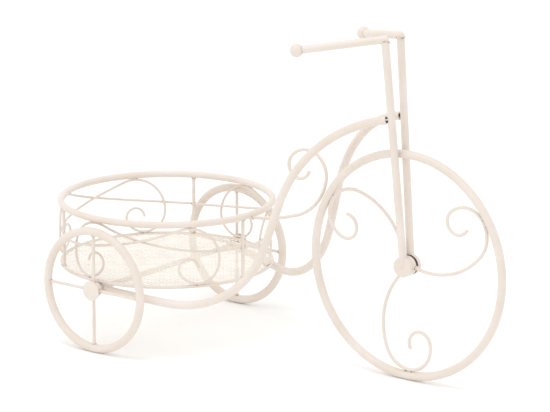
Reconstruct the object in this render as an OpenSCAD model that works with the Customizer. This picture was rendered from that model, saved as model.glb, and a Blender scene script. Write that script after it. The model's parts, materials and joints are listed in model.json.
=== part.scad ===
// Tricycle plant stand: a round wire basket between two rear wheels, two swept
// frame tubes running forward to a fork, and a large scroll-spoked front wheel.
// Millimetres. +X is forward, +Y is the rider's left, +Z is up, the floor is z = 0.
// The origin lies under the middle of the whole stand.

/* [Front wheel] */
// Radius of the front rim, to the middle of its tube
front_rim_r = 160; // [145:1:180]
// Diameter of the rim tubes of all three wheels
rim_tube_d = 12; // [9:0.5:14]
// Diameter of the scroll wire of the front wheel
front_wire_d = 5; // [4:0.5:6]
// Outer radius of the curl where a front scroll meets the rim
front_curl_r = 35.4; // [30:0.2:38]
// Radius of the inner curl of a front scroll
front_eye_r = 17.9; // [14:0.1:20]
// Diameter of the front hub and of the fork ends
front_hub_d = 29; // [26:0.5:34]

/* [Rear wheels] */
// Radius of a rear rim, to the middle of its tube
rear_rim_r = 87; // [80:1:100]
// Distance from the basket's wires to the middle plane of a rear wheel
wheel_gap = 12; // [11:0.5:24]
// Distance between the rear and front axles
wheelbase = 435; // [415:1:470]
// Diameter of a straight rear spoke
spoke_d = 4.5; // [3.5:0.5:6]
// Outer diameter of the rear hub barrel
rear_hub_d = 22; // [20:0.5:24]
// Diameter of the flat cap over a rear hub
hub_cap_d = 29; // [26:0.5:34]

/* [Axles] */
// Diameter of the rear axle rod and of the front axle bolt
axle_d = 8; // [6:0.5:9]
// Radial running clearance of a wheel bush on its axle
bush_clearance = 0.05; // [0.02:0.01:0.1]
// Gap between faces that turn past each other
face_gap = 0.3; // [0.2:0.05:0.5]

/* [Frame] */
// Diameter of the two swept frame tubes
frame_tube_d = 12; // [10:0.5:13]
// How far ahead of the rear axle each frame tube bends inwards
bend_ahead = 95; // [80:1:105]
// How far inside the basket's radius each frame tube makes that bend
bend_inset = 24; // [16:1:36]
// Height of that bend above the floor
bend_height = 83.5; // [78:0.5:88]
// Radius of the lower bend
low_bend_r = 136; // [120:1:145]
// Radius of the upper bend
high_bend_r = 196; // [180:1:205]
// Downward slope of a tube where the lower bend begins
dip_angle = 6.4; // [4:0.2:8]
// Slope of a tube between its two bends
rise_angle = 71.4; // [70:0.2:74]
// Slope of a tube where it reaches the fork
top_angle = 8.9; // [7:0.1:11]
// Height at which the frame tubes meet the fork
head_height = 376; // [368:1:384]

/* [Fork and handlebar] */
// Diameter of the fork legs and handlebars
fork_tube_d = 11; // [9:0.5:12]
// Height of the handlebar above the floor where it crosses a fork leg
bar_height = 489; // [470:1:510]
// How far the top of the fork leans back from the front axle
fork_lean = 29; // [20:1:40]
// Half the distance between the tops of the fork legs
fork_top_half = 18.5; // [16:0.5:24]
// Length of a handlebar from the fork to its ball
bar_length = 116; // [90:1:150]
// Angle by which a handlebar sweeps outwards
bar_sweep = 29.5; // [15:0.5:45]
// Angle by which a handlebar drops towards its ball
bar_drop = 9; // [0:0.5:20]
// Wall of the handlebar tube
bar_wall = 1.2; // [0.8:0.1:2]
// Diameter of the ball ends
ball_d = 19; // [15:0.5:24]
// Thickness of a fork end, across the wheel
fork_end_t = 6.4; // [5:0.2:8]

/* [Basket] */
// Radius of the basket, to the middle of its wires
basket_r = 156; // [140:0.5:176]
// Height of the middle of the rim above the floor
rim_height = 196; // [190:1:220]
// Diameter of the rim tube
basket_rim_d = 10; // [8:0.5:11]
// Diameter of the base ring wire
base_ring_d = 5; // [4:0.5:6]
// Diameter of a basket post
post_d = 5; // [4:0.5:6]
// Diameter of the basket's scroll wire
basket_wire_d = 3.6; // [3:0.2:4]
// How far the basket's front post is turned from straight ahead
basket_turn = -6; // [-12:1:12]
// Distance between the middles of neighbouring floor wires
mesh_pitch = 16; // [16:0.5:24]
// Width of a floor wire
mesh_wire_w = 1.8; // [1.4:0.1:2.4]
// Thickness of the wire floor
mesh_t = 2.4; // [1.8:0.1:3]

/* [Frame scroll] */
// Diameter of the wire scroll between the frame tubes
frame_wire_d = 5; // [4:0.5:6]
// Radius of the scroll's forward sweep
frame_sweep_r = 77.6; // [70:0.2:82]
// Outer radius of the scroll's curl
frame_curl_r = 35; // [32:0.5:37]
// Radius of the scroll's inner curl
frame_eye_r = 18.6; // [15:0.2:20]
// Clearance between the scroll and the front wheel
frame_scroll_gap = 1.5; // [1:0.5:6]
// Height of the foremost point of the scroll above the basket's rim
frame_scroll_rise = 76.5; // [70:0.5:84]

/* [Fasteners] */
// Diameter of the headless screws at the head of the frame
head_screw_d = 5; // [4:0.5:6]
// Diameter of the black spacer between frame and fork
head_spacer_d = 8; // [7:0.5:10]
// Thickness of that spacer
head_spacer_t = 2; // [1.5:0.5:5]
// Thickness of the black washer in the front hub
hub_washer_t = 4.5; // [3:0.1:5]

/* [Hidden] */
$fn = 64;

// Colours and shared clearances
ivory = [0.93, 0.87, 0.79];
black = [0.10, 0.10, 0.10];
weld_gap = 0.15;
slip_gap = 0.1;
join_gap = 0.1;
join_band = 3;
join_bulge = 0.2;
kink_gap = 0.5;
kink_bulge = 0.25;

// Radii worked out from the diameters
rim_tube_r = rim_tube_d / 2;
frame_tube_r = frame_tube_d / 2;
fork_r = fork_tube_d / 2;
axle_r = axle_d / 2;
front_hub_r = front_hub_d / 2;
rear_hub_r = rear_hub_d / 2;
front_wire_r = front_wire_d / 2;
basket_rim_r = basket_rim_d / 2;
base_ring_r = base_ring_d / 2;
basket_wire_r = basket_wire_d / 2;
frame_wire_r = frame_wire_d / 2;
head_screw_r = head_screw_d / 2;
bore_r = axle_r + bush_clearance;

// Axle positions, with the whole stand centred on the origin
front_axle_z = front_rim_r + rim_tube_r;
rear_axle_z = rear_rim_r + rim_tube_r;
rear_reach = max(rear_axle_z, basket_r + basket_rim_r);
overall_length = rear_reach + wheelbase + front_axle_z;
rear_x = rear_reach - overall_length / 2;
front_x = rear_x + wheelbase;

// Front hub, built up from the middle plane of the wheel
hub_face_left = 1.6;
hub_washer_y = hub_face_left + face_gap;
fork_end_inner = hub_washer_y + hub_washer_t + face_gap;
fork_end_outer = fork_end_inner + fork_end_t;
hub_face_right = -(fork_end_inner - face_gap - slip_gap);
bush_wall = 3;
hex_margin = 3.5;
bolt_head_t = 5.3;
bolt_head_r = axle_r + hex_margin;
lock_washer_t = 1.6;
lock_washer_r = bolt_head_r + 0.8;
seat_r = bolt_head_r + 1.5;
blind_wall = 1.4;
thread_depth = fork_end_t - blind_wall;

// Fork: a leg's axis from the fork end up to the handlebar
leg_clearance = 1;
leg_foot = [front_x, front_wire_r + fork_r + leg_clearance, front_axle_z];
leg_top = [front_x - fork_lean, fork_top_half, bar_height];
leg_dir = unit(leg_top - leg_foot);
bar_dir = [-cos(bar_drop) * cos(bar_sweep), cos(bar_drop) * sin(bar_sweep), -sin(bar_drop)];
ball_neck = 1;
ball_plug_depth = 14;
ball_flat = sqrt(pow(ball_d / 2, 2) - pow(fork_r, 2));

// Frame tube: rear straight to the bend, then a flat S up to the head
eye_margin = 2;
eye_r = frame_tube_r + eye_margin;
eye_w = 8;
rear_washer_t = 2;
hub_barrel_w = 11;
barrel_inboard = 5.4;
wheel_y = basket_r + wheel_gap;
barrel_inner = wheel_y - barrel_inboard;
eye_outer = barrel_inner - face_gap - rear_washer_t - slip_gap;
eye_mid = eye_outer - eye_w / 2;
tube_foot = [rear_x, eye_mid, rear_axle_z];
tube_bend = [rear_x + bend_ahead, basket_r - bend_inset, bend_height];
head_point = leg_foot + leg_dir * ((head_height - leg_foot.z) / leg_dir.z);
plan_angle = atan2(head_point.y - tube_bend.y, head_point.x - tube_bend.x);
head_dir = [cos(top_angle) * cos(plan_angle), cos(top_angle) * sin(plan_angle), sin(top_angle)];
tube_end = head_point - head_dir * (fork_r + head_spacer_t + slip_gap);

// The two straight runs of the S that make it land exactly on the head
s_run = norm([tube_end.x - tube_bend.x, tube_end.y - tube_bend.y])
    - low_bend_r * (sin(rise_angle) + sin(dip_angle))
    - high_bend_r * (sin(rise_angle) - sin(top_angle));
s_rise = tube_end.z - tube_bend.z
    - low_bend_r * (cos(dip_angle) - cos(rise_angle))
    - high_bend_r * (cos(top_angle) - cos(rise_angle));
run_det = sin(rise_angle + dip_angle);
low_straight = (s_run * sin(rise_angle) - s_rise * cos(rise_angle)) / run_det;
mid_straight = (s_rise * cos(dip_angle) + s_run * sin(dip_angle)) / run_det;

// End plug of a frame tube, which the head screw bites into
plug_wall = 1.2;
plug_r = frame_tube_r - plug_wall;
plug_l = 14;
screw_bite = 2;

// Rear hub: what is inside it, and where the rod ends
rear_nut_t = 3.6;
rear_bush_w = 5;
rod_end = barrel_inner + rear_bush_w + face_gap + rear_nut_t;
nut_r = axle_r + hex_margin;
cavity_margin = 1.3;
cavity_r = nut_r + cavity_margin;
hub_cap_t = 1.6;

// Basket levels, seated on the eyes of the frame tubes
base_height = rear_axle_z + eye_r + base_ring_r + slip_gap;
post_bottom = base_height + base_ring_r + weld_gap;
post_top = rim_height - basket_rim_r - weld_gap;
post_angles = [basket_turn, basket_turn + 120, basket_turn - 120];
floor_edge_gap = 0.4;
floor_edge_step = 0.4;

// Basket scrolls: each pair crosses, so one runs outside the other
scroll_offset = basket_wire_r + weld_gap / 2;
eye_top = rim_height - sqrt(pow(basket_rim_r + basket_wire_r + weld_gap, 2) - pow(scroll_offset, 2));
eye_bottom = base_height + sqrt(pow(base_ring_r + basket_wire_r + weld_gap, 2) - pow(scroll_offset, 2));
eye_height = eye_top - eye_bottom;
eye_hand_over = 96.5;
eye_ratio = 50.3 / 33.1;
eye_small_r = eye_height / (eye_ratio * (1 - cos(eye_hand_over)) + 1 + cos(eye_hand_over));
eye_big_r = eye_small_r * eye_ratio;
eye_tip_share = 0.456;
eye_tip_r = eye_small_r * eye_tip_share;
eye_small_turn = 143.3;
eye_tip_turn = 208.2;
panel_half = basket_r * PI / 3;
eye_middle_share = 0.435;
eye_middle = eye_middle_share * panel_half;
stem_slope = 18.8;
stem_rise = 2;

// Front wheel scroll: its widest point touches the rim, its stem reaches the hub
scroll_touch = front_rim_r - rim_tube_r - front_wire_r - weld_gap;
stem_root_angle = -38;
shoulder_r = 42.1;
shoulder_heading = 16.7;
shoulder_point = [
    scroll_touch - shoulder_r * (1 - sin(shoulder_heading)),
    -shoulder_r * cos(shoulder_heading)
];
root_gap = 0.55;
stem_root = (front_hub_r + root_gap) * [cos(stem_root_angle), sin(stem_root_angle)];
curl_turn = 102;
curl_eye_turn = 196;
touch_angles = [-87, 33, 150.5];

// Frame scroll, in the upright middle plane
scroll_start_drop = 3;
scroll_start = [
    rear_x + basket_r + basket_rim_r + weld_gap,
    rim_height - scroll_start_drop
];
sweep_heading = 18.2;
sweep_end = 76.7;
frame_curl_turn = 157.2;
frame_eye_turn = 199.4;
sweep_level = rim_height + frame_scroll_rise + (frame_sweep_r - frame_curl_r) * cos(sweep_end);
wheel_distance = front_rim_r + rim_tube_r + frame_scroll_gap + frame_wire_r + frame_sweep_r;
sweep_centre = [
    front_x - sqrt(pow(wheel_distance, 2) - pow(sweep_level - front_axle_z, 2)),
    sweep_level
];
sweep_start = sweep_centre + frame_sweep_r * [sin(sweep_heading), -cos(sweep_heading)];

function unit(v) = v / norm(v);

// The same point on the rider's left (side 1) or right (side -1)
function on(side, p) = [p.x, side * p.y, p.z];

// Radius of the arc that runs from point a to point b and has this heading at b
function arc_radius(a, b, heading) =
    let (d = a - b, n = [-sin(heading), cos(heading)]) (d * d) / (2 * (d * n));

// Angle that such an arc turns through
function arc_sweep(a, b, heading) =
    2 * asin(norm(a - b) / (2 * abs(arc_radius(a, b, heading))));

// Points along a left-hand arc from point p, after p itself; a negative sweep turns right
function arc_points(p, heading, r, sweep, n) =
    let (s = sign(sweep), c = p + s * r * [-sin(heading), cos(heading)])
    [for (i = [1:n]) let (h = heading + sweep * i / n) c + s * r * [sin(h), -cos(h)]];

// A straight round bar between two points
module bar(a, b, r) {
    d = b - a;
    translate(a)
    rotate([0, acos(d.z / norm(d)), atan2(d.y, d.x)])
    cylinder(h = norm(d), r = r);
}

// A ball whose poles lie along d
module ball(p, d, r) {
    translate(p)
    rotate([0, acos(d.z / norm(d)), atan2(d.y, d.x)])
    sphere(r = r);
}

// A round disc or ring along Y, from y0 to y1, with an optional bore
module disc_y(x, z, y0, y1, r, bore = 0) {
    translate([x, y0, z])
    rotate([-90, 0, 0])
    difference() {
        cylinder(h = y1 - y0, r = r);
        if (bore > 0) translate([0, 0, -1]) cylinder(h = y1 - y0 + 2, r = bore);
    }
}

// Such a disc on the left, or its like on the right
module side_disc(side, x, z, y0, y1, r, bore = 0) {
    disc_y(x, z, side > 0 ? y0 : -y1, side > 0 ? y1 : -y0, r, bore);
}

// A bar on the left, or its like on the right
module side_bar(side, a, b, r) {
    bar(on(side, a), on(side, b), r);
}

// The band of weld round a joint of a bar that runs along X
module weld_band(r) {
    translate([-join_band / 2, 0, 0])
    rotate([0, 90, 0])
    cylinder(h = join_band, r = r + join_bulge);
}

// Smoothly joined bends and straights of round bar in the XY plane, starting
// along +X. Each step is [radius, sweep], or [0, length] for a straight. The pieces
// stop just short of each other inside a weld band, which keeps every union clean.
module bent_bar(r, steps, lead = 0, i = 0) {
    if (i < len(steps)) {
        bend = steps[i][0];
        turn = steps[i][1];
        side = sign(turn);
        last = i == len(steps) - 1;
        before = i == 0 ? lead : join_gap;
        after = last ? 0 : join_gap;
        if (bend == 0) {
            translate([before, 0, 0])
            rotate([0, 90, 0])
            cylinder(h = turn - before - after, r = r);
            if (!last) translate([turn, 0, 0]) weld_band(r);
            translate([turn, 0, 0]) bent_bar(r, steps, lead, i + 1);
        } else {
            skip_before = before / bend * 180 / PI;
            skip_after = after / bend * 180 / PI;
            translate([0, side * bend, 0])
            rotate([0, 0, side > 0 ? -90 + skip_before : 90 + turn + skip_after])
            rotate_extrude(angle = abs(turn) - skip_before - skip_after, $fn = 96)
            translate([bend, 0])
            circle(r = r, $fn = 32);
            translate([0, side * bend, 0])
            rotate([0, 0, turn])
            translate([0, -side * bend, 0]) {
                if (!last) weld_band(r);
                bent_bar(r, steps, lead, i + 1);
            }
        }
    }
}

// Turns a shape drawn in XY so that it stands in the XZ plane
module upright() {
    rotate([90, 0, 0]) children();
}

// Frame
module frame_tube(side) {
    color(ivory)
    difference() {
        difference() {
            union() {
                side_bar(side, tube_foot, tube_bend - unit(tube_bend - tube_foot) * kink_gap,
                    frame_tube_r);
                side_disc(side, rear_x, rear_axle_z, eye_outer - eye_w, eye_outer, eye_r);
                ball(on(side, tube_bend), on(side, tube_bend - tube_foot),
                    frame_tube_r + kink_bulge);
                translate(on(side, tube_bend))
                rotate([0, 0, side * plan_angle])
                upright()
                rotate([0, 0, -dip_angle])
                bent_bar(frame_tube_r, [
                    [0, low_straight],
                    [low_bend_r, rise_angle + dip_angle],
                    [0, mid_straight],
                    [high_bend_r, top_angle - rise_angle]
                ], kink_gap);
            }
            side_bar(side, tube_end - head_dir * plug_l, tube_end + head_dir, plug_r + slip_gap);
        }
        union() {
            side_disc(side, rear_x, rear_axle_z, eye_outer - eye_w - 1, eye_outer + 1,
                axle_r + slip_gap);
            side_disc(side, rear_x, rear_axle_z, eye_outer, eye_outer + frame_tube_d, eye_r + 1);
            side_disc(side, rear_x, rear_axle_z, eye_outer - eye_w - frame_tube_d,
                eye_outer - eye_w, eye_r + 1);
        }
    }
}

module frame_end_plug(side) {
    color(black)
    difference() {
        side_bar(side, tube_end - head_dir * (plug_l - slip_gap), tube_end, plug_r);
        side_bar(side, tube_end - head_dir * plug_l, tube_end + head_dir, head_screw_r + slip_gap);
    }
}

module frame_scroll() {
    stem_r = arc_radius(scroll_start, sweep_start, sweep_heading);
    stem_turn = arc_sweep(scroll_start, sweep_start, sweep_heading);
    stem = arc_points(scroll_start, sweep_heading - stem_turn, stem_r, stem_turn, 10);
    sweep = arc_points(sweep_start, sweep_heading, frame_sweep_r, sweep_end - sweep_heading, 12);
    curl = arc_points(sweep[11], sweep_end, frame_curl_r, frame_curl_turn, 20);
    eye = arc_points(curl[19], sweep_end + frame_curl_turn, frame_eye_r, frame_eye_turn, 22);
    color(ivory)
    upright()
    flat_wire(concat([scroll_start], stem, sweep, curl, eye), frame_wire_r);
}

// Fork and handlebar
module fork_leg(side) {
    bore_end = side > 0 ? fork_end_outer + 1 : fork_end_inner + thread_depth;
    color(ivory)
    difference() {
        union() {
            side_bar(side, leg_foot, leg_top, fork_r);
            side_disc(side, front_x, front_axle_z, fork_end_inner, fork_end_outer, front_hub_r);
        }
        side_disc(side, front_x, front_axle_z, 0, fork_end_inner, front_hub_r + face_gap);
        side_bar(side, leg_top - bar_dir * fork_tube_d, leg_top + bar_dir * fork_tube_d,
            fork_r + slip_gap);
        side_bar(side, head_point - head_dir * fork_tube_d, head_point + head_dir * screw_bite,
            head_screw_r + slip_gap);
        side_disc(side, front_x, front_axle_z, 0, bore_end, axle_r + slip_gap);
        if (side > 0)
            side_disc(side, front_x, front_axle_z, fork_end_outer, fork_end_outer + fork_tube_d,
                seat_r);
    }
}

module handlebar(side) {
    bar_end = leg_top + bar_dir * bar_length;
    color(ivory)
    difference() {
        union() {
            ball(on(side, leg_top), on(side, bar_dir), fork_r);
            side_bar(side, leg_top, bar_end, fork_r);
        }
        side_bar(side, leg_top + bar_dir * fork_r, bar_end + bar_dir, fork_r - bar_wall);
    }
}

// A ball with a flat where it meets the bar, turned in one piece with its plug
module ball_end(side) {
    start = on(side, leg_top + bar_dir * (bar_length - ball_plug_depth));
    dir = on(side, bar_dir);
    flat_at = ball_plug_depth + ball_neck;
    color(ivory)
    translate(start)
    rotate([0, acos(dir.z), atan2(dir.y, dir.x)])
    rotate_extrude()
    union() {
        square([fork_r - bar_wall - slip_gap, flat_at + ball_flat]);
        intersection() {
            translate([0, flat_at + ball_flat]) circle(r = ball_d / 2);
            translate([0, flat_at]) square([ball_d, ball_d * 2]);
        }
    }
}

module head_spacer(side) {
    color(black)
    difference() {
        side_bar(side, tube_end + head_dir * slip_gap, head_point, head_spacer_d / 2);
        side_bar(side, leg_foot, leg_top, fork_r + slip_gap);
        side_bar(side, tube_end, head_point + head_dir, head_screw_r + slip_gap);
    }
}

module head_screw(side) {
    color(black)
    side_bar(side, tube_end - head_dir * (plug_l - 2), head_point + head_dir * (screw_bite - slip_gap),
        head_screw_r);
}

// Basket
module ring_at(z, ring_r, wire_r) {
    translate([rear_x, 0, z])
    rotate_extrude($fn = 128)
    translate([ring_r, 0])
    circle(r = wire_r, $fn = 32);
}

module basket_rim() {
    color(ivory) ring_at(rim_height, basket_r, basket_rim_r);
}

module basket_base_ring() {
    color(ivory) ring_at(base_height, basket_r, base_ring_r);
}

module basket_post(i) {
    color(ivory)
    translate([rear_x, 0, post_bottom])
    rotate([0, 0, post_angles[i]])
    translate([basket_r, 0, 0])
    cylinder(h = post_top - post_bottom, r = post_d / 2);
}

// Path of one basket scroll on the unrolled basket side, from the post to the tip
function scroll_path() =
    let (
        start = [-panel_half + post_d / 2 + weld_gap, (eye_top + eye_bottom) / 2 + stem_rise],
        eye_start = [
            eye_middle - eye_big_r * sin(stem_slope),
            eye_top - eye_big_r * (1 - cos(stem_slope))
        ],
        stem_r = arc_radius(start, eye_start, stem_slope),
        stem_turn = arc_sweep(start, eye_start, stem_slope),
        stem = arc_points(start, stem_slope - stem_turn, stem_r, stem_turn, 12),
        h1 = stem_slope,
        big = arc_points(eye_start, h1, eye_big_r, -(stem_slope + eye_hand_over), 12),
        h2 = -eye_hand_over,
        small = arc_points(big[11], h2, eye_small_r, -eye_small_turn, 14),
        h3 = h2 - eye_small_turn,
        tip = arc_points(small[13], h3, eye_tip_r, -eye_tip_turn, 14)
    )
    concat([start], stem, big, small, tip);

// Wire swept along points; sides_out gives, for each point, a direction square to the wire
module swept_wire(points, sides_out, r, sides) {
    n = len(points);
    function along(i) = unit(points[min(i + 1, n - 1)] - points[max(i - 1, 0)]);
    function ring(i) =
        let (t = along(i), v = unit(cross(t, sides_out[i])), w = cross(v, t))
        [for (k = [0:sides - 1])
            let (a = 360 * k / sides) points[i] + r * (cos(a) * w + sin(a) * v)];
    corners = concat([for (i = [0:n - 1]) each ring(i)], [points[0], points[n - 1]]);
    walls = [for (i = [0:n - 2], k = [0:sides - 1])
        let (a = i * sides + k, b = i * sides + (k + 1) % sides)
        each [[a, b, a + sides], [b, b + sides, a + sides]]];
    first = [for (k = [0:sides - 1]) [n * sides, (k + 1) % sides, k]];
    last = [for (k = [0:sides - 1])
        [n * sides + 1, (n - 1) * sides + k, (n - 1) * sides + (k + 1) % sides]];
    polyhedron(points = corners, faces = concat(walls, first, last));
}

// Wire along a flat path drawn in XY
module flat_wire(path, r) {
    swept_wire([for (p = path) [p.x, p.y, 0]], [for (p = path) [0, 0, 1]], r, 12);
}

// Wire along a path on the unrolled basket side, wrapped round at radius wrap_r
module wrapped_wire(path, panel_angle, hand, wrap_r, r) {
    turned = [for (p = path) panel_angle + hand * p.x / basket_r * 180 / PI];
    outward = [for (a = turned) [cos(a), sin(a), 0]];
    points = [for (i = [0:len(path) - 1])
        [rear_x, 0, path[i].y] + wrap_r * outward[i]];
    swept_wire(points, outward, r, 8);
}

module basket_scroll(i) {
    hand = i % 2 == 0 ? 1 : -1;
    panel_angle = basket_turn + 60 + 120 * floor(i / 2);
    color(ivory)
    wrapped_wire(scroll_path(), panel_angle, hand, basket_r + hand * scroll_offset,
        basket_wire_r);
}

// A flat wire floor whose thinned edge runs in below the inner scrolls
module basket_floor() {
    floor_r = basket_r - base_ring_r - slip_gap;
    seat_edge_r = basket_r - scroll_offset - basket_wire_r - floor_edge_gap;
    hole = mesh_pitch - mesh_wire_w;
    reach = ceil(floor_r / mesh_pitch);
    color(ivory)
    translate([rear_x, 0, base_height - mesh_t / 2])
    rotate([0, 0, 45 + basket_turn])
    difference() {
        linear_extrude(mesh_t)
        difference() {
            circle(r = floor_r, $fn = 128);
            for (i = [-reach:reach], j = [-reach:reach])
                if (norm([abs(i) + 0.5, abs(j) + 0.5]) * mesh_pitch < seat_edge_r - 1)
                    translate([i * mesh_pitch, j * mesh_pitch])
                    square(hole, center = true);
        }
        translate([0, 0, mesh_t - floor_edge_step])
        difference() {
            cylinder(h = mesh_t, r = floor_r + 1);
            translate([0, 0, -1]) cylinder(h = mesh_t + 2, r = seat_edge_r);
        }
    }
}

// Front wheel
module front_axle_bolt() {
    head_face = fork_end_outer + lock_washer_t + 2 * slip_gap;
    tip = fork_end_inner + thread_depth - slip_gap;
    color(black)
    union() {
        disc_y(front_x, front_axle_z, -tip, head_face + 1, axle_r);
        translate([front_x, head_face, front_axle_z])
        rotate([-90, 0, 0])
        cylinder(h = bolt_head_t, r = bolt_head_r, $fn = 6);
    }
}

module front_lock_washer() {
    color(black)
    disc_y(front_x, front_axle_z, fork_end_outer + slip_gap,
        fork_end_outer + slip_gap + lock_washer_t, lock_washer_r, axle_r + slip_gap);
}

module front_hub_washer() {
    color(black)
    disc_y(front_x, front_axle_z, hub_washer_y, hub_washer_y + hub_washer_t,
        front_hub_r - 0.5, axle_r + slip_gap);
}

module wheel_ring(x, y, z, ring_r) {
    translate([x, y, z])
    rotate([90, 0, 0])
    rotate_extrude($fn = 128)
    translate([ring_r, 0])
    circle(r = rim_tube_r, $fn = 32);
}

module front_rim() {
    color(ivory) wheel_ring(front_x, 0, front_axle_z, front_rim_r);
}

module front_hub() {
    color(ivory)
    disc_y(front_x, front_axle_z, hub_face_right, hub_face_left, front_hub_r,
        bore_r + bush_wall);
}

module front_bush() {
    color(black)
    disc_y(front_x, front_axle_z, hub_face_right, hub_face_left,
        bore_r + bush_wall - slip_gap / 2, bore_r);
}

// One scroll spoke: a stem from the hub, a shoulder that touches the rim, and a curl
module front_scroll(i) {
    stem_r = arc_radius(stem_root, shoulder_point, shoulder_heading);
    stem_turn = arc_sweep(stem_root, shoulder_point, shoulder_heading);
    stem = arc_points(stem_root, shoulder_heading - stem_turn, stem_r, stem_turn, 12);
    shoulder = arc_points(shoulder_point, shoulder_heading, shoulder_r, 90 - shoulder_heading, 10);
    curl = arc_points(shoulder[9], 90, front_curl_r, curl_turn, 14);
    eye = arc_points(curl[13], 90 + curl_turn, front_eye_r, curl_eye_turn, 22);
    color(ivory)
    translate([front_x, 0, front_axle_z])
    upright()
    rotate([0, 0, touch_angles[i]])
    flat_wire(concat([stem_root], stem, shoulder, curl, eye), front_wire_r);
}

// Rear wheels
module rear_axle_rod() {
    color(ivory) disc_y(rear_x, rear_axle_z, -rod_end, rod_end, axle_r);
}

module rear_rim(side) {
    color(ivory) wheel_ring(rear_x, side * wheel_y, rear_axle_z, rear_rim_r);
}

module rear_hub(side) {
    color(ivory)
    side_disc(side, rear_x, rear_axle_z, barrel_inner, barrel_inner + hub_barrel_w,
        rear_hub_r, cavity_r);
}

module rear_bush(side) {
    color(black)
    side_disc(side, rear_x, rear_axle_z, barrel_inner, barrel_inner + rear_bush_w,
        cavity_r - slip_gap / 2, bore_r);
}

module rear_cap(side) {
    plug_face = rod_end + 0.5;
    barrel_outer = barrel_inner + hub_barrel_w;
    color(ivory)
    union() {
        side_disc(side, rear_x, rear_axle_z, plug_face, barrel_outer + 1,
            cavity_r - slip_gap / 2);
        side_disc(side, rear_x, rear_axle_z, barrel_outer, barrel_outer + hub_cap_t,
            hub_cap_d / 2);
    }
}

module rear_nut(side) {
    inner = barrel_inner + rear_bush_w + face_gap;
    color(black)
    translate([rear_x, side > 0 ? inner : -inner - rear_nut_t, rear_axle_z])
    rotate([-90, 0, 0])
    difference() {
        cylinder(h = rear_nut_t, r = nut_r, $fn = 6);
        translate([0, 0, -1]) cylinder(h = rear_nut_t + 2, r = axle_r + slip_gap / 2);
    }
}

module rear_washer(side) {
    inner = eye_outer + slip_gap;
    color(black)
    side_disc(side, rear_x, rear_axle_z, inner, inner + rear_washer_t, eye_r, axle_r + slip_gap);
}

module rear_spoke(side, i) {
    color(ivory)
    translate([rear_x, side * wheel_y, rear_axle_z])
    rotate([0, 90 * i, 0])
    translate([0, 0, rear_hub_r + weld_gap])
    cylinder(h = rear_rim_r - rim_tube_r - rear_hub_r - 2 * weld_gap, r = spoke_d / 2);
}

frame_tube(1);  // frame_tube_left
frame_tube(-1);  // frame_tube_right
frame_end_plug(1);  // frame_end_plug_left
frame_end_plug(-1);  // frame_end_plug_right
frame_scroll();
fork_leg(1);  // fork_leg_left
fork_leg(-1);  // fork_leg_right
handlebar(1);  // handlebar_left
handlebar(-1);  // handlebar_right
ball_end(1);  // ball_end_left
ball_end(-1);  // ball_end_right
head_spacer(1);  // head_spacer_left
head_spacer(-1);  // head_spacer_right
head_screw(1);  // head_screw_left
head_screw(-1);  // head_screw_right
basket_rim();
basket_base_ring();
basket_post(0);  // basket_post_front
basket_post(1);  // basket_post_left
basket_post(2);  // basket_post_right
basket_scroll(0);  // basket_scroll_1
basket_scroll(1);  // basket_scroll_2
basket_scroll(2);  // basket_scroll_3
basket_scroll(3);  // basket_scroll_4
basket_scroll(4);  // basket_scroll_5
basket_scroll(5);  // basket_scroll_6
basket_floor();
front_axle_bolt();
front_lock_washer();
front_hub_washer();
front_rim();
front_scroll(0);  // front_scroll_1
front_scroll(1);  // front_scroll_2
front_scroll(2);  // front_scroll_3
front_hub();
front_bush();
rear_axle_rod();
rear_rim(1);  // rear_rim_left
rear_hub(1);  // rear_hub_left
rear_bush(1);  // rear_bush_left
rear_cap(1);  // rear_cap_left
rear_nut(1);  // rear_nut_left
rear_washer(1);  // rear_washer_left
rear_rim(-1);  // rear_rim_right
rear_hub(-1);  // rear_hub_right
rear_bush(-1);  // rear_bush_right
rear_cap(-1);  // rear_cap_right
rear_nut(-1);  // rear_nut_right
rear_washer(-1);  // rear_washer_right
rear_spoke(1, 0);  // rear_spoke_left_1
rear_spoke(1, 1);  // rear_spoke_left_2
rear_spoke(1, 2);  // rear_spoke_left_3
rear_spoke(1, 3);  // rear_spoke_left_4
rear_spoke(-1, 0);  // rear_spoke_right_1
rear_spoke(-1, 1);  // rear_spoke_right_2
rear_spoke(-1, 2);  // rear_spoke_right_3
rear_spoke(-1, 3);  // rear_spoke_right_4
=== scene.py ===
"""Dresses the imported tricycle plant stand. It adds smooth scroll wires and bent frame tubes,
a woven wire floor, weld beads with their bare specks, two dabs of paint, the painted and
black finishes, a pale studio and the photograph's camera.

Shapes are worked out in millimetres and degrees, as in the part's source, and scaled to the
frame's metres when a mesh is made. x points forward, y to the rider's left and z up."""
import json
import math

import bpy
import numpy as np
from mathutils import Matrix, Vector


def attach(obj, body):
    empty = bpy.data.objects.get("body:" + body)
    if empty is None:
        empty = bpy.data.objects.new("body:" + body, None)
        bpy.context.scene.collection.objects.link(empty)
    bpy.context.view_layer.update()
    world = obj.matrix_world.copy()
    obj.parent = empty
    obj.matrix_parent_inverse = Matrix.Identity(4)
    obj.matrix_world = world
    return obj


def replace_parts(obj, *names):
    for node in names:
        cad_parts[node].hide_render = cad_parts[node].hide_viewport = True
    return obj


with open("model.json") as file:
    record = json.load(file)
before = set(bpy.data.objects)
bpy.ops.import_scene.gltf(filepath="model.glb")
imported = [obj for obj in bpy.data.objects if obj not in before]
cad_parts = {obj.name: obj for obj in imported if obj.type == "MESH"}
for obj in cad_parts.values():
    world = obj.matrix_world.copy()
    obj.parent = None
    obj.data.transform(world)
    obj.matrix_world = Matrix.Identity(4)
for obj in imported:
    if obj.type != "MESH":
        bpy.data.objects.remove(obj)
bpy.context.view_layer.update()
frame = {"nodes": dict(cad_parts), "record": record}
rng = np.random.default_rng(7)

MM = 0.001
X, Y, Z = np.eye(3)
SIDES = ((1, "left"), (-1, "right"))

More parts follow.
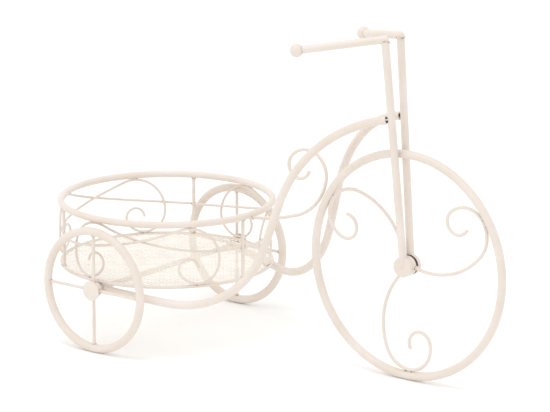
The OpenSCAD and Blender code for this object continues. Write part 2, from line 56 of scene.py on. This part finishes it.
# Sizes that repeat those of the solids
REAR_X, REAR_Z, WHEEL_Y = -220, 93, 168
FRONT_X, FRONT_Z = 215, 166
FRONT_RIM_R, REAR_RIM_R, RIM_TUBE_R = 160, 87, 6
FRONT_HUB_R, REAR_HUB_R = 14.5, 11
FRAME_TUBE_R, FORK_R = 6, 5.5
FRONT_WIRE_R, FRAME_WIRE_R, BASKET_WIRE_R = 2.5, 2.5, 1.8
BASKET_R, RIM_HEIGHT, BASE_HEIGHT = 156, 196, 103.6
BASKET_RIM_R, BASE_RING_R, POST_R = 5, 2.5, 2.5
BASKET_TURN = -6
WELD_GAP, SLIP_GAP = 0.15, 0.1
LEG_FOOT = np.array([FRONT_X, 9.0, FRONT_Z])
LEG_TOP = np.array([186, 18.5, 489.0])


# Materials
CLOUD_STOPS = (0.30, 0.5, 0.72)
GLOSS_SCALE, GLOSS_SPAN = 120.0, (0.3, 0.7)
BUMP_STRENGTH = 0.35
COAT_ROUGHNESS = 0.25


def node_material(name):
    """A new material, with its node tree, its shader and the object's own coordinates."""
    mat = bpy.data.materials.new(name)
    mat.use_nodes = True
    tree = mat.node_tree
    where = tree.nodes.new("ShaderNodeTexCoord").outputs["Object"]
    return mat, tree, tree.nodes["Principled BSDF"], where


def noise(tree, where, scale, detail, rough):
    node = tree.nodes.new("ShaderNodeTexNoise")
    node.inputs["Scale"].default_value = scale
    node.inputs["Detail"].default_value = detail
    node.inputs["Roughness"].default_value = rough
    tree.links.new(where, node.inputs["Vector"])
    return node.outputs["Fac"]


def ramp(tree, value, stops):
    """Turns a value into a colour. stops are pairs of value and colour, in rising order."""
    node = tree.nodes.new("ShaderNodeValToRGB")
    elements = node.color_ramp.elements
    for i in (0, -1):
        elements[i].position = stops[i][0]
        elements[i].color = (*stops[i][1], 1)
    for at, colour in stops[1:-1]:
        elements.new(at).color = (*colour, 1)
    tree.links.new(value, node.inputs["Fac"])
    return node.outputs["Color"]


def coated(name, tones, rough, bump_mm, coat, metallic=0.0, peel=650.0, clouds=38.0):
    """A sprayed or plated surface. tones are the dark, middle and light colour of its clouds,
    rough is the range of its uneven gloss, and peel and bump_mm are the scale and the depth
    of its fine orange peel."""
    mat, tree, shader, where = node_material(name)
    cloud = noise(tree, where, clouds, 4.0, 0.6)
    colour = ramp(tree, cloud, list(zip(CLOUD_STOPS, tones)))
    tree.links.new(colour, shader.inputs["Base Color"])
    spread = tree.nodes.new("ShaderNodeMapRange")
    limits = zip(("From Min", "From Max", "To Min", "To Max"), GLOSS_SPAN + rough)
    for socket, limit in limits:
        spread.inputs[socket].default_value = limit
    tree.links.new(noise(tree, where, GLOSS_SCALE, 3.0, 0.55), spread.inputs["Value"])
    tree.links.new(spread.outputs["Result"], shader.inputs["Roughness"])
    bump = tree.nodes.new("ShaderNodeBump")
    bump.inputs["Strength"].default_value = BUMP_STRENGTH
    bump.inputs["Distance"].default_value = bump_mm * MM
    tree.links.new(noise(tree, where, peel, 2.0, 0.5), bump.inputs["Height"])
    tree.links.new(bump.outputs["Normal"], shader.inputs["Normal"])
    shader.inputs["Metallic"].default_value = metallic
    shader.inputs["Coat Weight"].default_value = coat
    shader.inputs["Coat Roughness"].default_value = COAT_ROUGHNESS
    return mat


ivory = coated(
    "ivory_paint",
    ((0.745, 0.655, 0.565), (0.775, 0.690, 0.615), (0.805, 0.738, 0.680)),
    rough=(0.34, 0.50), bump_mm=0.12, coat=0.12, clouds=13.0)
weld_ivory = coated(
    "ivory_paint_on_weld",
    ((0.16, 0.12, 0.09), (0.72, 0.62, 0.53), (0.79, 0.70, 0.63)),
    rough=(0.38, 0.58), bump_mm=0.30, coat=0.10, peel=420.0, clouds=260.0)
bare_weld = coated(
    "bare_weld",
    ((0.030, 0.022, 0.016), (0.055, 0.040, 0.030), (0.100, 0.075, 0.055)),
    rough=(0.50, 0.70), bump_mm=0.10, coat=0.0, metallic=0.4)
# The floor's wires get a lighter copy of the ivory paint. This is painted light: it stands in
# for the brightness of light through the open weave and takes away the weave's shade.
mesh_ivory_with_painted_light = coated(
    "ivory_paint_with_painted_light_on_mesh",
    ((0.86, 0.79, 0.70), (0.91, 0.86, 0.78), (0.94, 0.90, 0.84)),
    rough=(0.42, 0.56), bump_mm=0.05, coat=0.05)
black_plastic = coated(
    "black_plastic",
    ((0.010, 0.010, 0.010), (0.016, 0.016, 0.016), (0.024, 0.023, 0.022)),
    rough=(0.42, 0.60), bump_mm=0.05, coat=0.0)
black_steel = coated(
    "black_steel",
    ((0.012, 0.012, 0.013), (0.022, 0.021, 0.021), (0.040, 0.037, 0.035)),
    rough=(0.30, 0.46), bump_mm=0.04, coat=0.05, metallic=0.6)

FINISH = {"ivory_paint": ivory, "black_plastic": black_plastic, "black_steel": black_steel}
slot_of = {part["node"]: part["material_slot"] for part in frame["record"]["subparts"]}
for name, obj in frame["nodes"].items():
    obj.data.materials.clear()
    obj.data.materials.append(FINISH[slot_of[name]])


# Directions and plane curves
NEARLY_UPRIGHT = 0.9


def sind(degrees):
    return math.sin(math.radians(degrees))


def cosd(degrees):
    return math.cos(math.radians(degrees))


def unit(v):
    v = np.asarray(v, float)
    return v / np.linalg.norm(v)


def square_to(direction):
    """A unit vector square to a direction."""
    return unit(np.cross(direction, Z if abs(direction[2]) < NEARLY_UPRIGHT else X))


def arc(p, heading, r, sweep, n):
    """n points along an arc, after its start p; a negative sweep turns right."""
    s = 1 if sweep > 0 else -1
    centre = (p[0] - s * r * sind(heading), p[1] + s * r * cosd(heading))
    headings = [heading + sweep * i / n for i in range(1, n + 1)]
    return [(centre[0] + s * r * sind(h), centre[1] - s * r * cosd(h)) for h in headings]


def arc_between(a, b, heading):
    """Radius and sweep of the arc that runs from a to b and has this heading at b."""
    d = np.subtract(a, b)
    r = (d @ d) / (2 * (d @ np.array([-sind(heading), cosd(heading)])))
    return r, math.degrees(2 * math.asin(np.linalg.norm(d) / (2 * abs(r))))


def scroll(start, stem_end, heading, stem_points, *arcs):
    """Points of a scroll: a stem in one arc from start to stem_end, which it reaches with
    this heading, and then smoothly on through arcs of (radius, sweep, number of points)."""
    r, sweep = arc_between(start, stem_end, heading)
    path = [tuple(start)] + arc(start, heading - sweep, r, sweep, stem_points)
    for r, sweep, n in arcs:
        path += arc(path[-1], heading, r, sweep, n)
        heading += sweep
    return np.array(path)


# Meshes
WIRE_SIDES, BASKET_WIRE_SIDES, TUBE_SIDES, WEAVE_SIDES = 20, 16, 32, 6
SHARP_ANGLE = 50
# Rings that break the edge of a cut end: how far in and how much thinner each one is, as
# shares of the trim
CUT_END = ((0, 1), (0.35, 0.3), (1, 0))
LUMP_LAYERS, LUMP_COLUMNS, LUMP_UNEVENNESS = 8, 12, 0.12
BEAD_SEGMENTS, BEAD_SIDES, BEAD_RIPPLES = 40, 8, 14


def quads(rows, columns, wrap=False, row_first=False):
    """Faces between rows of points, each row a closed ring. wrap joins the last row to the
    first. row_first lists a face's corners along its row first, which settles how the face
    is cut into triangles."""
    faces = []
    for i in range(rows if wrap else rows - 1):
        here, there = i * columns, (i + 1) % rows * columns
        for k in range(columns):
            q = (k + 1) % columns
            a, b, c, d = here + k, there + k, there + q, here + q
            faces.append((a, d, c, b) if row_first else (a, b, c, d))
    return faces


class Builder:
    """Collects closed shapes, in millimetres, and makes one piece of them."""

    def __init__(self):
        self.verts, self.faces, self.count = [], [], 0

    def add(self, verts, faces):
        """Takes in one closed shape and turns its faces outward."""
        verts = np.asarray(verts, float)
        fan = [(f[0], f[i], f[i + 1]) for f in faces for i in range(1, len(f) - 1)]
        a, b, c = verts[fan].transpose(1, 0, 2)
        if np.einsum("ij,ij->", a, np.cross(b, c)) < 0:
            faces = [f[::-1] for f in faces]
        self.verts.append(verts)
        self.faces += [tuple(i + self.count for i in f) for f in faces]
        self.count += len(verts)

    def tube(self, pts, r, sides, shape=None, up=None, trim=0.28):
        """A round bar along points, its cut ends' edges broken by trim times r. shape gives
        each point's width and height as shares of r, and up the direction of the height."""
        pts = np.asarray(pts, float)
        tang = np.vstack([pts[1:], pts[-1:]]) - np.vstack([pts[:1], pts[:-1]])
        tang /= np.linalg.norm(tang, axis=1)[:, None]
        if up is None:
            side = square_to(tang[0])
            across = []
            for t in tang:
                side = unit(side - t * (side @ t))
                across.append(side)
        else:
            across = [unit(np.cross(t, u)) for t, u in zip(tang, up)]
        rings = [(0, pts[0] + tang[0] * r * trim * back, r * (1 - trim * less))
                 for back, less in CUT_END]
        rings += [(i, pts[i], r) for i in range(1, len(pts) - 1)]
        rings += [(-1, pts[-1] - tang[-1] * r * trim * back, r * (1 - trim * less))
                  for back, less in reversed(CUT_END)]
        verts = []
        for i, centre, radius in rings:
            wide, high = shape[i] if shape else (1, 1)
            level, upright = across[i], np.cross(tang[i], across[i])
            for k in range(sides):
                a = 2 * math.pi * k / sides
                spoke = math.cos(a) * level * wide + math.sin(a) * upright * high
                verts.append(centre + radius * spoke)
        faces = quads(len(rings), sides)
        faces.append(tuple(range(sides)))
        faces.append(tuple(reversed(range(len(verts) - sides, len(verts)))))
        self.add(verts, faces)

    def blob(self, at, axes, radii):
        """A small uneven lump of weld metal or paint, with three axes and radii."""
        a, b, c = [unit(x) for x in axes]
        ra, rb, rc = radii
        phase = rng.uniform(0, 6.28, 3)
        verts = []
        for i in range(1, LUMP_LAYERS):
            v = math.pi * i / LUMP_LAYERS
            for j in range(LUMP_COLUMNS):
                u = 2 * math.pi * j / LUMP_COLUMNS
                wave = math.sin(3 * u + phase[0]) * math.sin(2 * v + phase[1])
                wave += 0.5 * math.sin(5 * u + phase[2])
                level = ra * math.cos(u) * a + rb * math.sin(u) * b
                spoke = math.sin(v) * level + rc * math.cos(v) * c
                verts.append(at + (1 + LUMP_UNEVENNESS * wave) * spoke)
        top, bottom = len(verts), len(verts) + 1
        lowest = top - LUMP_COLUMNS
        verts += [at + rc * c, at - rc * c]
        faces = quads(LUMP_LAYERS - 1, LUMP_COLUMNS)
        for j in range(LUMP_COLUMNS):
            q = (j + 1) % LUMP_COLUMNS
            faces += [(top, j, q), (bottom, lowest + q, lowest + j)]
        self.add(verts, faces)

    def bead(self, centre, axis, ring_r, bead_r, lift=None):
        """A rippled weld fillet round a bar. lift gives how far it is raised along the axis,
        for each direction from the middle."""
        axis = unit(axis)
        level = square_to(axis)
        other = np.cross(axis, level)
        phase = rng.uniform(0, 6.28, 2)
        verts = []
        for i in range(BEAD_SEGMENTS):
            a = 2 * math.pi * i / BEAD_SEGMENTS
            out = math.cos(a) * level + math.sin(a) * other
            middle = centre + axis * lift(out) if lift else centre
            wave = 0.16 * math.sin(BEAD_RIPPLES * a + phase[0])
            wave += 0.10 * math.sin(3 * a + phase[1])
            r = bead_r * (1 + wave)
            for k in range(BEAD_SIDES):
                w = 2 * math.pi * k / BEAD_SIDES
                verts.append(middle + out * (ring_r + r * math.cos(w)) + axis * r * math.sin(w))
        self.add(verts, quads(BEAD_SEGMENTS, BEAD_SIDES, wrap=True, row_first=True))

    def done(self, name, mat, body, slot="ivory_paint", sharp_edges=False):
        """Makes the piece, which rides on a body and takes the given material. The slot
        argument is not used.
        """
        mesh = bpy.data.meshes.new(name)
        mesh.from_pydata((np.vstack(self.verts) * MM).tolist(), [], self.faces)
        mesh.validate()
        mesh.update()
        mesh.polygons.foreach_set("use_smooth", [True] * len(mesh.polygons))
        if sharp_edges:
            mesh.set_sharp_from_angle(angle=math.radians(SHARP_ANGLE))
        mesh.materials.append(mat)
        obj = bpy.data.objects.new(name, mesh)
        bpy.context.scene.collection.objects.link(obj)
        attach(obj, body)
        return obj


def scroll_wire(name, node, body, pts, r, sides, up):
    """A smooth wire that stands for a scroll of the solids."""
    wire = Builder()
    wire.tube(pts, r, sides, up=up)
    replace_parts(wire.done(name, ivory, body, sharp_edges=True), node)


# Front wheel: three scrolls from the hub, each welded where it touches the rim
ROOT_ANGLE, ROOT_GAP = -38, 0.55
SHOULDER_R, SHOULDER_HEADING = 42.1, 16.7
CURL_R, CURL_TURN = 35.4, 102
CURL_EYE_R, CURL_EYE_TURN = 17.9, 196
TOUCH_ANGLES = (-87, 33, 150.5)
RIM_WELD, RIM_WELD_BACK, RIM_WELD_SUNK = (6, 2.1, 1.5), 3, 0.2
ROOT_BEAD_R, ROOT_BEAD_PLACE = 1.1, 0.6
# Places of the bare specks along each weld; the photograph shows none at the third
SPECK, SPECK_PLACES = (1.2, 2.7, 0.9), ((-8.2, 1.6), (-8.2, 1.6), ())

front_axle = np.array([FRONT_X, 0, FRONT_Z], float)
root = (FRONT_HUB_R + ROOT_GAP) * np.array([cosd(ROOT_ANGLE), sind(ROOT_ANGLE)])
touch = FRONT_RIM_R - RIM_TUBE_R - FRONT_WIRE_R - WELD_GAP
shoulder = (touch - SHOULDER_R * (1 - sind(SHOULDER_HEADING)),
            -SHOULDER_R * cosd(SHOULDER_HEADING))
path = scroll(root, shoulder, SHOULDER_HEADING, 28,
              (SHOULDER_R, 90 - SHOULDER_HEADING, 24),
              (CURL_R, CURL_TURN, 32),
              (CURL_EYE_R, CURL_EYE_TURN, 44))
wheel_welds, wheel_pits = Builder(), Builder()
for i, angle in enumerate(TOUCH_ANGLES):
    out = np.array([cosd(angle), 0, sind(angle)])
    along = np.array([-sind(angle), 0, cosd(angle)])
    pts = front_axle + np.outer(path[:, 0], out) + np.outer(path[:, 1], along)
    scroll_wire(f"front_scroll_wire_{i + 1}", f"front_scroll_{i + 1}", "front_wheel",
                pts, FRONT_WIRE_R, WIRE_SIDES, [Y] * len(pts))
    axes = (along, Y, out)
    spot = front_axle + out * (FRONT_RIM_R - RIM_TUBE_R - RIM_WELD_SUNK)
    wheel_welds.blob(spot - along * RIM_WELD_BACK, axes, RIM_WELD)
    for place in SPECK_PLACES[i]:
        wheel_pits.blob(spot + along * place, axes, SPECK)
    stem = unit(pts[1] - pts[0])
    wheel_welds.bead(pts[0] + stem * ROOT_BEAD_PLACE, stem, FRONT_WIRE_R + 0.05, ROOT_BEAD_R)
wheel_welds.done("front_wheel_welds", weld_ivory, "front_wheel")
wheel_pits.done("front_wheel_weld_pits", bare_weld, "front_wheel", slot="black_steel")


# Frame tubes: an eye on the rear axle, a straight stay, a bend inwards, and then an S in an
# upright plane that ends at the spacer on the fork leg
HEAD_HEIGHT, SPACER_T = 376, 2.0
EYE_R, EYE_BORE_R, EYE_HALF_WIDTH = 8.0, 4.1, 4
EYE_Y, EYE_SEGMENTS = 156.2, 48
BEND = np.array([-125, 132.0, 83.5])
DIP, RISE, TOP = 6.4, 71.4, 8.9
LOW_R, HIGH_R = 136, 196
# Places of the stay's points from the middle of the eye, closest where it is pressed
STAY_PLACES = (7.2, 10, 13, 17, 21, 26, 32, 44, 58, 72)
STRAIGHT_STEPS = 6
BEND_ROOM, BEND_POINTS = 9, 9
# The tube is pressed narrow and tall at its eye, and is round again further along
PRESS_START, PRESS_LENGTH = 7, 22
PRESS_NARROWER, PRESS_TALLER = 0.34, 0.20

leg = LEG_TOP - LEG_FOOT
head = LEG_FOOT + leg * (HEAD_HEIGHT - LEG_FOOT[2]) / leg[2]
foot = np.array([REAR_X, EYE_Y, REAR_Z])
plan = math.degrees(math.atan2(head[1] - BEND[1], head[0] - BEND[0]))
forward = np.array([cosd(plan), sind(plan), 0])
head_dir = forward * cosd(TOP) + Z * sind(TOP)
tube_end = head - head_dir * (FORK_R + SPACER_T + SLIP_GAP)

# What is left for the S's two straights, along and up, beside its two arcs
run = math.hypot(tube_end[0] - BEND[0], tube_end[1] - BEND[1])
run -= LOW_R * (sind(RISE) + sind(DIP)) + HIGH_R * (sind(RISE) - sind(TOP))
climb = tube_end[2] - BEND[2]
climb -= LOW_R * (cosd(DIP) - cosd(RISE)) + HIGH_R * (cosd(TOP) - cosd(RISE))
low = (run * sind(RISE) - climb * cosd(RISE)) / sind(RISE + DIP)
steep = (climb * cosd(DIP) + run * sind(DIP)) / sind(RISE + DIP)

flat = [(low * cosd(DIP), -low * sind(DIP))]
flat += arc(flat[-1], -DIP, LOW_R, RISE + DIP, 40)
u, w = flat[-1]
step = steep / STRAIGHT_STEPS
flat += [(u + k * step * cosd(RISE), w + k * step * sind(RISE))
         for k in range(1, STRAIGHT_STEPS + 1)]
flat += arc(flat[-1], RISE, HIGH_R, TOP - RISE, 46)
swept = [BEND + forward * u + Z * w for u, w in flat]
lead = unit(BEND - foot)
before, after = BEND - lead * BEND_ROOM, swept[0]
corner = [(1 - t) ** 2 * before + 2 * t * (1 - t) * BEND + t ** 2 * after
          for t in np.linspace(0, 1, BEND_POINTS)]
line = [foot + lead * d for d in STAY_PLACES] + corner + swept[1:]
press = []
for point in line:
    k = min(max((np.linalg.norm(point - foot) - PRESS_START) / PRESS_LENGTH, 0), 1)
    k = 1 - k * k * (3 - 2 * k)
    press.append((1 - PRESS_NARROWER * k, 1 + PRESS_TALLER * k))

# Half of the eye's section with its broken edges, from the bore outwards
half_profile = [(EYE_BORE_R, EYE_HALF_WIDTH - 0.4),
                (EYE_BORE_R + 0.4, EYE_HALF_WIDTH),
                (EYE_R - 0.9, EYE_HALF_WIDTH),
                (EYE_R - 0.3, EYE_HALF_WIDTH - 0.3),
                (EYE_R, EYE_HALF_WIDTH - 0.9)]
profile = [(r, -y) for r, y in half_profile] + half_profile[::-1]
eye = []
for i in range(EYE_SEGMENTS):
    a = 2 * math.pi * i / EYE_SEGMENTS
    eye += [foot + (r * math.cos(a), y, r * math.sin(a)) for r, y in profile]
for side, name in SIDES:
    mirror = np.array([1, side, 1])
    tube = Builder()
    tube.tube(np.array(line) * mirror, FRAME_TUBE_R, TUBE_SIDES,
              shape=press, up=[Z] * len(line), trim=0.12)
    tube.add(np.array(eye) * mirror,
             quads(EYE_SEGMENTS, len(profile), wrap=True, row_first=True))
    piece = tube.done("frame_tube_bent_" + name, ivory, "stand", sharp_edges=True)
    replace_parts(piece, "frame_tube_" + name)


# Frame scroll: from the basket's rim forward and up, in the middle plane
SWEEP_R, SWEEP_HEADING, SWEEP_END = 77.6, 18.2, 76.7
FRAME_CURL_R, FRAME_CURL_TURN = 35, 157.2
FRAME_EYE_R, FRAME_EYE_TURN = 18.6, 199.4
FOREMOST_HEIGHT = 272.5
WHEEL_CLEARANCE = 1.5
START_DROP = 3

sweep_level = FOREMOST_HEIGHT + (SWEEP_R - FRAME_CURL_R) * cosd(SWEEP_END)
wheel_distance = FRONT_RIM_R + RIM_TUBE_R + WHEEL_CLEARANCE + FRAME_WIRE_R + SWEEP_R
sweep_x = FRONT_X - math.sqrt(wheel_distance ** 2 - (sweep_level - FRONT_Z) ** 2)
sweep_start = (sweep_x + SWEEP_R * sind(SWEEP_HEADING),
               sweep_level - SWEEP_R * cosd(SWEEP_HEADING))
scroll_start = (REAR_X + BASKET_R + BASKET_RIM_R + WELD_GAP, RIM_HEIGHT - START_DROP)
path = scroll(scroll_start, sweep_start, SWEEP_HEADING, 30,
              (SWEEP_R, SWEEP_END - SWEEP_HEADING, 28),
              (FRAME_CURL_R, FRAME_CURL_TURN, 44),
              (FRAME_EYE_R, FRAME_EYE_TURN, 44))
pts = np.outer(path[:, 0], X) + np.outer(path[:, 1], Z)
scroll_wire("frame_scroll_wire", "frame_scroll", "stand",
            pts, FRAME_WIRE_R, WIRE_SIDES, [Y] * len(pts))


# Basket scrolls: a mirrored pair in each third, one outside the other where they cross
HAND_OVER = 96.5
EYE_RATIO, TIP_SHARE = 50.3 / 33.1, 0.456
EYE_TURN, TIP_TURN = 143.3, 208.2
EYE_MIDDLE_SHARE = 0.435
STEM_SLOPE, STEM_RISE = 18.8, 2
EYE_WELD, EYE_WELD_UP, EYE_WELD_IN = (3.6, 1.7, 1.3), 0.9 * BASKET_WIRE_R, 0.8
EYE_SPECK, EYE_SPECK_PLACE = (0.9, 1.9, 0.7), 3.4
STEM_WELD, STEM_WELD_IN = (1.6, 2.0, 2.6), 0.6

offset = BASKET_WIRE_R + WELD_GAP / 2
reach_top = math.sqrt((BASKET_RIM_R + BASKET_WIRE_R + WELD_GAP) ** 2 - offset ** 2)
reach_bottom = math.sqrt((BASE_RING_R + BASKET_WIRE_R + WELD_GAP) ** 2 - offset ** 2)
eye_top, eye_bottom = RIM_HEIGHT - reach_top, BASE_HEIGHT + reach_bottom
small = (eye_top - eye_bottom) / (EYE_RATIO * (1 - cosd(HAND_OVER)) + 1 + cosd(HAND_OVER))
big = small * EYE_RATIO
panel_half = BASKET_R * math.pi / 3
stem_start = (POST_R + WELD_GAP - panel_half, (eye_top + eye_bottom) / 2 + STEM_RISE)
stem_end = (EYE_MIDDLE_SHARE * panel_half - big * sind(STEM_SLOPE),
            eye_top - big * (1 - cosd(STEM_SLOPE)))
flat = scroll(stem_start, stem_end, STEM_SLOPE, 30,
              (big, -(STEM_SLOPE + HAND_OVER), 36),
              (small, -EYE_TURN, 40),
              (small * TIP_SHARE, -TIP_TURN, 36))
i_top, i_bottom = int(np.argmax(flat[:, 1])), int(np.argmin(flat[:, 1]))
# Each scroll's point at the rim and at the base ring, with the way and the height from it to
# the middle of the rim or the ring
contacts = ((i_top, 1, reach_top), (i_bottom, -1, reach_bottom))
basket_middle = np.array([REAR_X, 0, 0], float)
basket_welds, basket_pits = Builder(), Builder()
for k in range(6):
    hand = 1 if k % 2 == 0 else -1
    panel = BASKET_TURN + 60 + 120 * (k // 2)
    a = np.radians(panel + hand * np.degrees(flat[:, 0] / BASKET_R))
    outward = np.stack([np.cos(a), np.sin(a), 0 * a], 1)
    pts = basket_middle + outward * (BASKET_R + hand * offset) + np.outer(flat[:, 1], Z)
    scroll_wire(f"basket_scroll_wire_{k + 1}", f"basket_scroll_{k + 1}", "stand",
                pts, BASKET_WIRE_R, BASKET_WIRE_SIDES, outward)
    for i, up, rise in contacts:
        t, inward = unit(pts[i + 1] - pts[i - 1]), -hand * outward[i]
        spot = pts[i] + Z * up * EYE_WELD_UP + inward * EYE_WELD_IN
        basket_welds.blob(spot, (t, outward[i], Z), EYE_WELD)
        toward = unit(Z * up * rise + inward * offset)
        pit = pts[i] + toward * (BASKET_WIRE_R + 0.1) + t * EYE_SPECK_PLACE
        basket_pits.blob(pit, (t, np.cross(t, toward), toward), EYE_SPECK)
    stem_foot = pts[0] - hand * outward[0] * STEM_WELD_IN
    basket_welds.blob(stem_foot, (pts[1] - pts[0], outward[0], Z), STEM_WELD)


# Welds of the basket's posts, of its ring on the frame tubes, and of the frame scroll
POST_BEAD_SUNK, POST_BEAD_R = 0.1, 1.2
SEAT_WELD, SEAT_WELD_AT = (5.5, 3.0, 1.1), (REAR_X + 1, 155.6, BASE_HEIGHT - 2.6)
SCROLL_BEAD_PLACE, SCROLL_BEAD_R = 0.4, 1.1

post_joints = (RIM_HEIGHT - BASKET_RIM_R + POST_BEAD_SUNK,
               BASE_HEIGHT + BASE_RING_R - POST_BEAD_SUNK)
for angle in (BASKET_TURN, BASKET_TURN + 120, BASKET_TURN - 120):
    post = basket_middle + BASKET_R * np.array([cosd(angle), sind(angle), 0])
    for height in post_joints:
        basket_welds.bead(post + Z * height, Z, POST_R + 0.1, POST_BEAD_R)
for side, _ in SIDES:
    basket_welds.blob(np.array([1, side, 1]) * SEAT_WELD_AT, (X, Y, Z), SEAT_WELD)
spot = X * (scroll_start[0] + SCROLL_BEAD_PLACE) + Z * scroll_start[1]
basket_welds.bead(spot, X, FRAME_WIRE_R, SCROLL_BEAD_R)
basket_welds.done("basket_welds", weld_ivory, "stand")
basket_pits.done("basket_weld_pits", bare_weld, "stand", slot="black_steel")


# Woven wire floor, with its wires slanting across the basket
FLOOR_R, PITCH, WEAVE_WIRE_R = 153.2, 5.5, 0.50
CROSSING_LIFT = 0.98 * WEAVE_WIRE_R
SHORTEST_WIRE_HALF, END_ROOM = 6, 0.4


def stray(i):
    """How far a wire lies from its even place, which leaves faint bands in the floor."""
    return 0.6 * math.sin(1.7 * i) + 0.3 * math.sin(0.9 * i + 1)


floor_middle = np.array([REAR_X, 0, BASE_HEIGHT])
slant = 45 + BASKET_TURN
warp = np.array([cosd(slant), sind(slant), 0])
weft = np.array([-sind(slant), cosd(slant), 0])
count = int(FLOOR_R / PITCH)
weave = Builder()
for along, across, flip in ((warp, weft, 0), (weft, warp, 1)):
    for i in range(-count, count + 1):
        u = i * PITCH + (0 if flip else stray(i))
        reach = math.sqrt(max(FLOOR_R ** 2 - u ** 2, 0))
        if reach < SHORTEST_WIRE_HALF:
            continue
        middle = floor_middle + across * u
        last = int(reach / PITCH)
        pts = [middle - along * reach]
        for j in range(-last, last + 1):
            if reach - abs(j * PITCH) < END_ROOM:
                continue
            over = 1 if (i + j + flip) % 2 == 0 else -1
            pts.append(middle + along * j * PITCH + Z * over * CROSSING_LIFT)
        pts.append(middle + along * reach)
        weave.tube(pts, WEAVE_WIRE_R, WEAVE_SIDES, trim=0.2)
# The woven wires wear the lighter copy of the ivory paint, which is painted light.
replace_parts(weave.done("woven_floor", mesh_ivory_with_painted_light, "stand"), "basket_floor")


# Welds of the rear wheels' spokes, at the hub and at the rim: each bead's distance from the
# axle, the radius that it runs at and its own radius
SPOKE_BEADS = ((REAR_HUB_R + 0.35, 2.3, 0.9), (REAR_RIM_R - RIM_TUBE_R - 0.1, 2.4, 1.1))

for side, name in SIDES:
    body = "rear_wheel_" + name
    axle = np.array([REAR_X, side * WHEEL_Y, REAR_Z], float)
    welds = Builder()
    for angle in (0, 90, 180, 270):
        spoke = np.array([sind(angle), 0, cosd(angle)])
        for distance, ring_r, bead_r in SPOKE_BEADS:
            welds.bead(axle + spoke * distance, spoke, ring_r, bead_r)
    welds.done(body + "_welds", weld_ivory, body)


# Welds of the handlebars on the fork legs, and a dab of paint across each head spacer
BAR_SWEEP, BAR_DROP = 29.5, 9
JOINT_R, JOINT_RING_R, JOINT_BEAD_R = 5.0, 5.2, 1.2
DAB, DAB_OUT, DAB_PLACE = (2.4, 1.2, 1.2), 3.9, 0.7

leg_dir = unit(leg)
bar_dir = np.array([-cosd(BAR_DROP) * cosd(BAR_SWEEP), cosd(BAR_DROP) * sind(BAR_SWEEP),
                    -sind(BAR_DROP)])
for side, name in SIDES:
    mirror = np.array([1, side, 1])
    up_leg = unit(leg_dir * mirror)
    across_bar = unit(np.cross(up_leg, bar_dir * mirror))

    def saddle(out):
        """Rise of the joint line, where the leg's end is cut to fit round the bar."""
        return FORK_R - math.sqrt(FORK_R ** 2 - (JOINT_R * (out @ across_bar)) ** 2)

    weld = Builder()
    joint = (LEG_TOP - leg_dir * FORK_R) * mirror
    weld.bead(joint, up_leg, JOINT_RING_R, JOINT_BEAD_R, lift=saddle)
    weld.done(f"handlebar_weld_{name}", weld_ivory, "stand")
    axis = unit(head_dir * mirror)
    outside = unit(-side * np.cross(axis, Z) + 0.3 * Z)
    spacer = (head - head_dir * (FORK_R + DAB_PLACE)) * mirror
    dab = Builder()
    dab.blob(spacer + outside * DAB_OUT, (axis, np.cross(axis, outside), outside), DAB)
    dab.done(f"head_spacer_paint_{name}", ivory, "stand")


# Stage, lights and camera
FLOOR_TONE, FLOOR_HALF = (0.97, 0.97, 0.965), 30.0
WORLD_STRENGTH = 1.03
AIM = Vector((0, 0, 0.2))
SENSOR_WIDTH, PHOTO_WIDTH, FOCAL_PIXELS = 36.0, 550.0, 3500.0

floor_paint, tree, shader, where = node_material("pale_floor")
lighter = tuple(min(1, tone * 1.01) for tone in FLOOR_TONE)
colour = ramp(tree, noise(tree, where, 3.0, 2.0, 0.5), [(0.35, FLOOR_TONE), (0.65, lighter)])
tree.links.new(colour, shader.inputs["Base Color"])
shader.inputs["Roughness"].default_value = 0.9
shader.inputs["Specular IOR Level"].default_value = 0.1
mesh = bpy.data.meshes.new("floor")
corners = [(x * FLOOR_HALF, y * FLOOR_HALF, 0) for x, y in ((-1, -1), (1, -1), (1, 1), (-1, 1))]
mesh.from_pydata(corners, [], [(0, 1, 2, 3)])
mesh.materials.append(floor_paint)
floor = bpy.data.objects.new("floor", mesh)
bpy.context.scene.collection.objects.link(floor)

world = bpy.data.worlds.new("studio")
bpy.context.scene.world = world
world.use_nodes = True
background = world.node_tree.nodes["Background"]
background.inputs["Color"].default_value = (1, 1, 1, 1)
background.inputs["Strength"].default_value = WORLD_STRENGTH


def lamp(name, at, size, watts):
    """A round soft light that points at the object."""
    light = bpy.data.lights.new(name, "AREA")
    light.shape = "DISK"
    light.size = size
    light.energy = watts
    obj = bpy.data.objects.new(name, light)
    obj.location = at
    obj.rotation_mode = "QUATERNION"
    obj.rotation_quaternion = (AIM - Vector(at)).to_track_quat("-Z", "Y")
    bpy.context.scene.collection.objects.link(obj)


lamp("key", (-0.3, -0.9, 3.4), 2.2, 22)
lamp("fill", (-2.2, -2.4, 1.8), 1.6, 2.0)

# The camera's axes and place, from the fit to the wheels and the basket in the photograph
camera = bpy.data.cameras.new("camera")
camera.sensor_width = SENSOR_WIDTH
camera.lens = FOCAL_PIXELS * SENSOR_WIDTH / PHOTO_WIDTH
camera.clip_end = 100
camera_obj = bpy.data.objects.new("camera", camera)
camera_obj.matrix_world = Matrix((
    (0.7939265783777013, 0.6080094570063321, 0.002255734102469161, 0),
    (-0.15006005532577796, 0.19234748096487722, 0.9697857631261096, 0),
    (0.5892050304784407, -0.7702771882623367, 0.2439477101789814, 0),
    (2.9503504324876375, -3.8818158565679877, 1.4454728867398827, 1))).transposed()
bpy.context.scene.collection.objects.link(camera_obj)
bpy.context.scene.camera = camera_obj
bpy.context.scene.view_settings.view_transform = "Standard"
